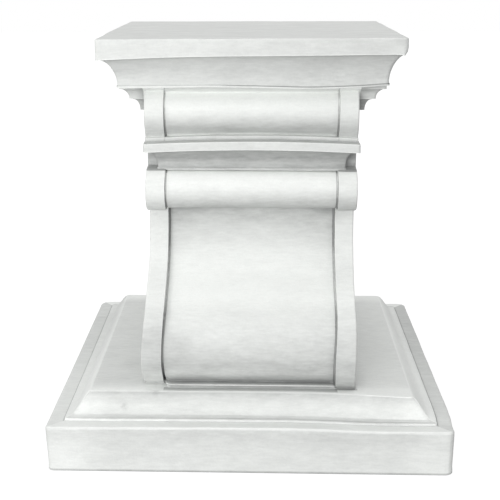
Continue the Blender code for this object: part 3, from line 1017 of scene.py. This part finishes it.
# Painted light and shade by side: the block is a little darker to the right, under the lower roll the strips
# are lighter on the left and darker on the right, and the right sweep and the left toe are lighter.
block_shade = product(paint, fade(paint, across, -0.11, 0.11, -0.03, 0.03), on_block)
under_roll = product(paint, bump_at(paint, height, 0.264, 0.026),
                     fade(paint, across, -0.11, 0.11, -0.09, 0.08))
right_sweep = product(paint, bump_at(paint, height, 0.145, 0.055), on_right, -0.12)
left_toe = product(paint, fade(paint, height, 0.102, 0.085), fade(paint, across, 0.0, -0.1), -0.23)
strip_shade = product(paint, on_strips, total(paint, under_roll, right_sweep, left_toe))
block_shade_and_wash = total(paint, block_shade_and_wash, block_shade, strip_shade)
print("with the wash of the block the paint has", len(paint.nodes), "nodes")

# %% [markdown]
# On the base the painted shade and wash change with the side as well as with the height, because each side
# takes the light differently. The front and the sides have a ramp each, and on the plane the two are
# blended, because no edge parts them there.

# %% The painted shade and wash by height on the base
by_side = choose(paint, on_plane, on_front, fade(paint, from_centre, 0.140, 0.170))
on_its_sides = shade_and_wash_by_height(paint, height, SIDE_SHADE_AND_WASH)
base_shade_and_wash = choose(paint, by_side, on_its_sides, shade_and_wash_by_height(paint, height, FRONT_SHADE_AND_WASH))
# Painted shade: the sides are lighter to the front and darker to the back, the right step is darker at its
# foot and lighter above it, and the plane on the right is lighter.
beside = product(paint, without(paint, on_plane), without(paint, on_front))
right_step = product(paint, on_right, fade(paint, height, SLAB_TOP + 0.0012, SLAB_TOP + 0.0030, 0.12, -0.14))
side_shade = product(paint, beside, total(paint, fade(paint, depth, -0.15, 0.12, -0.14, 0.08), right_step))
right_plane = product(paint, on_plane, under(paint, height, BEAD["top"]),
                      fade(paint, across, 0.11, 0.13, 0.0, -0.12))
base_shade_and_wash = total(paint, base_shade_and_wash, side_shade, right_plane)

# %% The painted shade and wash by height on the necks and the cap
LOWER_NECK_TOP = LOWER_NECK["top"]
neck_shade_and_wash = fade(paint, height, LOWER_NECK_TOP - 0.004, LOWER_NECK_TOP,
                 NECK_SHADE_AND_WASH["lower"], NECK_SHADE_AND_WASH["upper"])
# Painted shade: the necks are grey in the shade under the cap, and darker still in the corner by the block.
in_corner = fade(paint, from_middle, BLOCK_HALF_X + 0.0080, BLOCK_HALF_X + 0.0010, 0.0, 0.24)
neck_shade_and_wash = product(paint, on_necks, total(paint, neck_shade_and_wash, in_corner))
# Painted shade: the cap is darker to the right, as the light falls from the left.
cap_shade = product(paint, fade(paint, across, -0.12, 0.15, -0.03, 0.11), over(paint, height, CAP_FOOT),
                    under(paint, height, HEIGHT - 0.001))
cap_shade_and_wash = total(paint, shade_and_wash_by_height(paint, height, CAP_SHADE_AND_WASH), cap_shade)
shade_and_wash = total(paint, block_shade_and_wash, base_shade_and_wash, cap_shade_and_wash, neck_shade_and_wash)
print("the wash by height takes", len(paint.nodes), "nodes")

# %% [markdown]
# Every crease is darkened, as wash and painted shade together, and every arris is made lighter, as rubbed
# paint and a painted highlight. Ambient Occlusion nodes find both: looking outwards they see how closed in a
# point is, and looking inwards how thin the edge is behind it. Both look at the casting alone, so the floor
# doesn't count as a crease. Round the shelf's foot, at the ledge, on top of the upper roll and at the left
# toe the crease shade is left off, so these places stay light.

# %% Creases and arrises
def enclosed(tree, distance, inside=False):
    """How closed in a point is by the piece itself: one in the open, and nothing in a deep crease."""
    node = add_node(tree, "AmbientOcclusion", samples=8, only_local=True, inside=inside)
    node.inputs["Distance"].default_value = distance
    return node.outputs["AO"]


CREASE_SHADE_AND_WASH = 0.34
HOLLOW_SHADE_AND_WASH = 0.10
beside_strips = product(paint, fade(paint, from_middle, STRIP_INNER - 0.0090, STRIP_INNER - 0.0010), on_block,
                        under(paint, from_middle, STRIP_INNER), off_shelf)
at_left_toe = product(paint, under(paint, across, -STRIP_INNER + 0.004),
                      fade(paint, height, PLANE_HEIGHT + 0.008, PLANE_HEIGHT))
# Painted light: the top of the upper roll, which the cap would shade, is kept free of crease shade.
roll_top = product(paint, fade(paint, height, 0.366, 0.378), under(paint, from_middle, BLOCK_HALF_X + 0.0004))
free_of_crease_shade = product(paint, on_block, total(paint, bump_at(paint, height, SHELF_FOOT, 0.012),
                                       bump_at(paint, height, LEDGE["top"], 0.006), roll_top))
free_of_crease_shade = calc(paint, "MAXIMUM", free_of_crease_shade, product(paint, at_left_toe, 0.45))
crease_shade_share = without(paint, calc(paint, "MAXIMUM", free_of_crease_shade, product(paint, beside_strips, 0.65)))
patchy = total(paint, 1.0, tone(paint, 0.020, 0.22, (3.0, 1.0, 1.0)))
# Painted shade and wash in creases and hollows; below, the mask of arrises that get a painted highlight.
in_crease = product(paint, fade(paint, enclosed(paint, 0.006), 0.90, 0.40), CREASE_SHADE_AND_WASH, patchy, crease_shade_share)
in_hollow = product(paint, fade(paint, enclosed(paint, 0.030), 0.95, 0.45), HOLLOW_SHADE_AND_WASH, crease_shade_share)
on_arris = fade(paint, enclosed(paint, 0.0025, inside=True), 0.80, 0.45)
print("with creases and arrises the paint has", len(paint.nodes), "nodes")

# %% [markdown]
# Some creases are so fine that they show as a thin dark line, wash and painted shade together: the grooves
# beside the strips, the lip of the cap and the foot of the toe. A line is a narrow hump around a place on the
# mould. Those beside the strips waver and break off here and there, because clouds of tone move their place
# and their strength.

# %% Lines beside the strips and along the cap's lip
LINE_SHADE_AND_WASH = {"lip": 0.75, "lip_end": 0.26, "bead_foot": 0.58, "toe_foot": 0.60, "bead_top": 0.50}
wavering = total(paint, from_middle, tone(paint, 0.009, 0.0004))
near_groove = bump_at(paint, wavering, STRIP_INNER - 0.0002, 0.0011)
broken = calc(paint, "ADD", 0.80, tone(paint, 0.0060, 0.45), clamp=True)
# Painted shade and grey patina: a thin dark line in the groove beside each strip.
groove_line = product(paint, near_groove, on_block, off_shelf, broken,
                      shade_and_wash_by_height(paint, height, GROOVE_SHADE_AND_WASH))
# Painted shade: a faint soft shadow on the panel beside each strip.
beside_groove = product(paint, beside_strips, 0.05, patchy)
# Painted shade: a dark line along the top of the cap's lip, and at the right end a grey band that dims the
# lip.
lip_line = product(paint, bump_at(paint, height, CAP_FOOT + CAP_LIP, 0.0007),
                   fade(paint, across, -0.040, -0.010), LINE_SHADE_AND_WASH["lip"])
right_of_block = fade(paint, across, BLOCK_HALF_X - 0.012, BLOCK_HALF_X + 0.004)
lip_end = product(paint, bump_at(paint, height, CAP_FOOT + 0.5 * CAP_LIP, 0.0024), right_of_block,
                  LINE_SHADE_AND_WASH["lip_end"])
upper_lines = total(paint, groove_line, beside_groove, lip_line, lip_end)

# %% Lines at the foot of the toe
# Wash and painted shade: the dark band on the plane in front of the bead, the dark line at the foot of the
# right toe, and the crease along the top of the bead.
on_plane_only = product(paint, on_plane, under(paint, height, PLANE_HEIGHT + HAIR))
between_edges = product(paint, under(paint, from_middle, STRIP_INNER + 0.001),
                        under(paint, height, BEAD["top"] + HAIR), over(paint, height, PLANE_HEIGHT - HAIR))
bead_foot = product(paint, between_edges, over(paint, from_centre, BEAD["out"] + 0.0001),
                    fade(paint, from_centre, PLANE_REACH, BEAD["out"] + 0.007), LINE_SHADE_AND_WASH["bead_foot"])
right_toe = bump_at(paint, across, BLOCK_HALF_X - STRIP_WIDTH / 2, STRIP_WIDTH / 2 + 0.0010)
toe_foot = product(paint, over(paint, product(paint, right_toe, on_plane_only), 0.0),
                   over(paint, from_centre, BEAD["out"] - 0.0006),
                   fade(paint, from_centre, BEAD["out"] + 0.0036, BEAD["out"] + 0.0006),
                   LINE_SHADE_AND_WASH["toe_foot"])
bead_top = product(paint, between_edges, over(paint, height, BEAD["top"] - HAIR),
                   fade(paint, from_centre, 0.1530, 0.1500), LINE_SHADE_AND_WASH["bead_top"])
toe_lines = total(paint, bead_foot, toe_foot, bead_top)

# %% [markdown]
# The low step keeps a dark line of wash and painted shade where it stands on the slab, strong at the sides
# and faint in front, and a second one in front, where the ogee starts. The edge of the plane at the sides is
# rubbed and carries a painted highlight, and the ends of the slab and the ogee in front are painted lighter,
# so these places simply take grey away.

# %% Lines and lighter places on the base
RUBBED_AND_LIT = {"plane_edge": -0.20, "slab_ends": -0.14, "ogee_ends": -0.16}
on_ledge = product(paint, under(paint, height, SLAB_TOP + 0.0010), over(paint, height, SLAB_TOP - 0.0020))
up_to_plane = under(paint, height, PLANE_HEIGHT + HAIR)
on_base_top = product(paint, over(paint, height, SLAB_TOP + 0.0008), up_to_plane)
# Painted shade and wash: dark lines at the foot of the step and where the ogee starts.
step_line = product(paint, bump_at(paint, reach, STEP_REACH + 0.0004, 0.0014), on_ledge,
                    fade(paint, on_front, 0.0, 1.0, 0.50, 0.12))
step_top = product(paint, over(paint, height, SLAB_TOP + 0.0012), under(paint, height, 0.0540), on_front)
step_top_line = product(paint, bump_at(paint, reach, OGEE_REACH + 0.0012, 0.0016), step_top,
                        fade(paint, across, -0.10, -0.02, 0.06, 0.20))
# Painted highlight on the plane's edge at the sides, and painted light at the front ends of the slab and
# ogee.
plane_arris = product(paint, over(paint, height, PLANE_HEIGHT - 0.0015), up_to_plane,
                      bump_at(paint, reach, PLANE_REACH, 0.0013))
plane_edge_rub_and_highlight = product(paint, plane_arris, without(paint, on_front), RUBBED_AND_LIT["plane_edge"])
slab_ends = product(paint, fade(paint, from_middle, 0.14, 0.205), on_front,
                    under(paint, height, SLAB_TOP - 0.0020), RUBBED_AND_LIT["slab_ends"])
ogee_ends = product(paint, fade(paint, from_middle, 0.145, 0.185), on_front, on_base_top,
                    RUBBED_AND_LIT["ogee_ends"])
base_lines = total(paint, step_line, step_top_line, plane_edge_rub_and_highlight, slab_ends, ogee_ends)
lines_of_shade_and_wash = total(paint, upper_lines, toe_lines, base_lines)
print("with the lines of wash the paint has", len(paint.nodes), "nodes")

# %% [markdown]
# A few grey spots break the evenness: smudges on the ogee and on the plane beside the block, and painted
# shade in the hollow of the cap, low on the left of the sweep, under the lower roll and at both ends of the
# bead. Each is a place on the mould, how far it reaches and how grey it is in its middle.

# %% Smudges and spots of painted shade
SMUDGES_AND_SHADE_SPOTS = (
    ((-0.1356, -0.1860, 0.0600), 0.0060, 0.34),
    ((-0.1029, -0.1755, 0.0712), 0.0070, 0.24),
    ((-0.1351, -0.0928, 0.0726), 0.0220, 0.10),
    # Painted shade from here on: the cap's hollow, the sweep, under the lower roll and the ends of the bead.
    ((0.1450, -0.1400, 0.4150), 0.0120, 0.16),
    ((-0.0850, -0.1650, 0.1180), 0.0400, 0.13),
    ((0.0700, -0.0800, 0.2480), 0.0300, 0.10),
    ((-0.1039, -0.1583, 0.0755), 0.0040, 0.40),
    ((0.0944, -0.1544, 0.0755), 0.0040, 0.40),
)


def grey_spot(tree, centre, extent, grey):
    """A small cloudy grey patch around a place on the mould, used for smudges and for painted shade."""
    distance = add_node(tree, "VectorMath", operation="DISTANCE")
    feed(tree, distance.inputs[0], mould.outputs["Vector"])
    feed(tree, distance.inputs[1], centre)
    cloudy = total(tree, 0.8, tone(tree, extent / 2, 0.8, (2.0, 1.0, 1.0)))
    return product(tree, fade(tree, distance.outputs["Value"], extent, 0.0), grey, cloudy)


smudges_and_shade_spots = total(paint, *[grey_spot(paint, *values) for values in SMUDGES_AND_SHADE_SPOTS])
print(len(SMUDGES_AND_SHADE_SPOTS), "smudges_and_shade_spots")

# %% [markdown]
# The brush leaves short strokes across the front, stronger where the paint is greyer, and longer streaks on
# the flat top. Everything is then added up to one value, and that value blends the chalk white into the
# grey that stands for both the wash and the painted shade. A last faint mottle goes over both, so that the
# paint isn't as even as plastic.

# %% Brush strokes and the paint's colour
ARRIS_RUB_AND_HIGHLIGHT = -0.28
fine_strokes = tone(paint, 0.0028, 0.070, (4.0, 1.0, 1.0))
strokes = total(paint, fine_strokes, tone(paint, 0.0090, 0.040, (2.5, 1.0, 1.0)))
strokes = product(paint, strokes, total(paint, 0.55, shade_and_wash))
top_streaks = tone(paint, 0.0035, 0.10, (14.0, 1.0, 1.0))
top_streaks = product(paint, top_streaks, over(paint, height, HEIGHT - 0.0005))
uneven_shade_and_wash = product(paint, shade_and_wash, total(paint, 1.0, tone(paint, 0.014, 0.12, (3.0, 1.0, 1.0))))
# Rubbed paint and a painted highlight: the arrises are made lighter.
arris_rub_and_highlight = product(paint, on_arris, ARRIS_RUB_AND_HIGHLIGHT)
all_shade_and_wash = total(paint, uneven_shade_and_wash, in_crease, in_hollow, lines_of_shade_and_wash, smudges_and_shade_spots, strokes,
                 top_streaks, arris_rub_and_highlight)
all_shade_and_wash = calc(paint, "ADD", all_shade_and_wash, 0.0, clamp=True)

CHALK_WHITE = (0.871, 0.888, 0.867, 1.0)
# The grey of the wash and of the painted shade.
SHADE_AND_WASH_GREY = (0.293, 0.300, 0.295, 1.0)
mixed = add_node(paint, "Mix", data_type="RGBA")
feed(paint, mixed.inputs["Factor"], all_shade_and_wash)
white, grey = [socket for socket in mixed.inputs if socket.type == "RGBA"]
feed(paint, white, CHALK_WHITE)
feed(paint, grey, SHADE_AND_WASH_GREY)
mottle = total(paint, 1.0, tone(paint, 0.050, 0.016), tone(paint, 0.013, 0.012), tone(paint, 0.0040, 0.014),
               tone(paint, 0.0018, 0.024))
brightness = add_node(paint, "VectorMath", operation="SCALE")
feed(paint, brightness.inputs["Vector"], next(s for s in mixed.outputs if s.type == "RGBA"))
feed(paint, brightness.inputs["Scale"], mottle)
feed(paint, shader.inputs["Base Color"], brightness.outputs["Vector"])
print("the colour takes", len(paint.nodes), "nodes")

# %% [markdown]
# The paint is matt and chalky, a touch rougher where it is greyer. The relief of its grain is far too
# fine for the mesh, so it is a Bump node: fine grain, and the ridges of the brush that run across the
# front.

# %% Chalky roughness and a fine relief
PAINT_ROUGHNESS = 0.58
RELIEF = {"strength": 0.20, "height": 0.0004}
rough = total(paint, PAINT_ROUGHNESS, product(paint, all_shade_and_wash, 0.12), tone(paint, 0.010, 0.04))
feed(paint, shader.inputs["Roughness"], rough)
relief = add_node(paint, "Bump")
relief.inputs["Strength"].default_value = RELIEF["strength"]
relief.inputs["Distance"].default_value = RELIEF["height"]
grain_height = total(paint, tone(paint, 0.0020, 0.50), tone(paint, 0.0040, 0.50, (10.0, 1.0, 1.0)))
feed(paint, relief.inputs["Height"], grain_height)
feed(paint, shader.inputs["Normal"], relief.outputs["Normal"])
plinth.data.materials.clear()
plinth.data.materials.append(finish)
print("the finish has", len(paint.nodes), "nodes")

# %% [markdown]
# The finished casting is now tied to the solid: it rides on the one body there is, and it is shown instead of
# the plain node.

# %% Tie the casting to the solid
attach(plinth, "root")
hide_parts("plinth")

# %% [markdown]
# The plinth stands in a white studio. A white floor and a white world would light it from all round and
# wash out its shades, so both are white only to the camera and dimmer to everything else. A Light Path node
# tells the two apart.

# %% The floor
def for_camera_only(tree, elsewhere, in_the_picture):
    """One shader for the camera and another for everything else."""
    either = add_node(tree, "MixShader")
    feed(tree, either.inputs["Fac"], add_node(tree, "LightPath").outputs["Is Camera Ray"])
    feed(tree, either.inputs[1], elsewhere)
    feed(tree, either.inputs[2], in_the_picture)
    return either.outputs["Shader"]


FLOOR_WIDTH = 14.0
FLOOR_DROP = 0.0004
FLOOR_GREY = (0.28, 0.28, 0.28, 1.0)
FLOOR_GLOW = 0.85
bpy.ops.object.select_all(action="DESELECT")
bpy.ops.mesh.primitive_plane_add(size=FLOOR_WIDTH, location=(0.0, 0.0, -FLOOR_DROP))
floor = bpy.context.object
floor.name = "studio_floor"
pale = bpy.data.materials.new("pale_floor")
pale.use_nodes = True
sheet = pale.node_tree
paper = sheet.nodes["Principled BSDF"]
paper.inputs["Base Color"].default_value = FLOOR_GREY
paper.inputs["Roughness"].default_value = 1.0
paper.inputs["Specular IOR Level"].default_value = 0.0
glow = add_node(sheet, "Emission")
glow.inputs["Strength"].default_value = FLOOR_GLOW
lit = add_node(sheet, "AddShader")
feed(sheet, lit.inputs[0], paper.outputs["BSDF"])
feed(sheet, lit.inputs[1], glow.outputs["Emission"])
shown = for_camera_only(sheet, paper.outputs["BSDF"], lit.outputs["Shader"])
feed(sheet, sheet.nodes["Material Output"].inputs["Surface"], shown)
floor.data.materials.append(pale)
print("the floor is", round(floor.dimensions.x), "m wide")

# %% The world
PURE_WHITE = (1.0, 1.0, 1.0, 1.0)
WORLD_FILL = 0.76
world = bpy.data.worlds.new("studio")
bpy.context.scene.world = world
world.use_nodes = True
sky = world.node_tree
fill_light = sky.nodes["Background"]
fill_light.inputs["Color"].default_value = PURE_WHITE
fill_light.inputs["Strength"].default_value = WORLD_FILL
backdrop = add_node(sky, "Background")
backdrop.inputs["Color"].default_value = PURE_WHITE
shown = for_camera_only(sky, fill_light.outputs["Background"], backdrop.outputs["Background"])
feed(sky, sky.nodes["World Output"].inputs["Surface"], shown)
print("the world has", len(sky.nodes), "nodes")

# %% [markdown]
# A large soft light stands low in front, a little to the left: it brightens the rolls where they swell
# forward and leaves their undersides to the wash. A weak one behind keeps the back from going dull.

# %% The lights
AIM = Vector((0.0, 0.0, 0.22))


def softbox(name, turn, rise, distance, width, tall, watts):
    """A rectangular softbox that looks at the middle of the plinth, turned from the front and raised."""
    turn = math.radians(turn)
    rise = math.radians(rise)
    toward = Vector((math.sin(turn) * math.cos(rise), -math.cos(turn) * math.cos(rise), math.sin(rise)))
    bpy.ops.object.light_add(type="AREA", location=AIM + distance * toward)
    light = bpy.context.object
    light.name = name
    light.data.shape = "RECTANGLE"
    light.data.size = width
    light.data.size_y = tall
    light.data.energy = watts
    light.rotation_euler = toward.to_track_quat("Z", "Y").to_euler()
    print(name, "gives", watts, "W")


softbox("key_softbox", -16, 8, 2.4, 1.8, 0.8, 36.0)
softbox("back_softbox", 180, 35, 2.4, 1.8, 1.0, 6.0)

# %% [markdown]
# The camera stands where the photographer stood, a little above the cap and almost straight in front. Its
# place and angles were fitted to the corners of the base and the cap, and its focal length is given in
# pixels of a square picture, which is how such a fit puts it.

# %% The camera
FOCAL_PIXELS = 1069.1
FRAME_PIXELS = 500
FRAME_SHIFT = 0.06
SENSOR_WIDTH = 36.0
CAMERA_PLACE = Vector((0.0081, -1.2486, 0.5236))
CAMERA_YAW = math.radians(-2.131)
CAMERA_PITCH = math.radians(15.120)
CAMERA_ROLL = math.radians(-0.232)
bpy.ops.object.camera_add()
camera = bpy.context.object
camera.name = "photo_camera"
camera.data.sensor_width = SENSOR_WIDTH
camera.data.lens = SENSOR_WIDTH * FOCAL_PIXELS / FRAME_PIXELS
camera.data.shift_x = FRAME_SHIFT
level_view = Matrix(((1, 0, 0), (0, 0, -1), (0, 1, 0))) @ Matrix.Rotation(CAMERA_YAW, 3, "Z")
look = Matrix.Rotation(CAMERA_ROLL, 3, "Z") @ Matrix.Rotation(CAMERA_PITCH, 3, "X") @ level_view
turned = (Matrix.Diagonal((1, -1, -1)) @ look).transposed().to_4x4()
camera.matrix_world = Matrix.Translation(CAMERA_PLACE) @ turned
bpy.context.scene.camera = camera
bpy.context.scene.view_settings.view_transform = "Standard"
print("the lens is", round(camera.data.lens, 1), "mm")
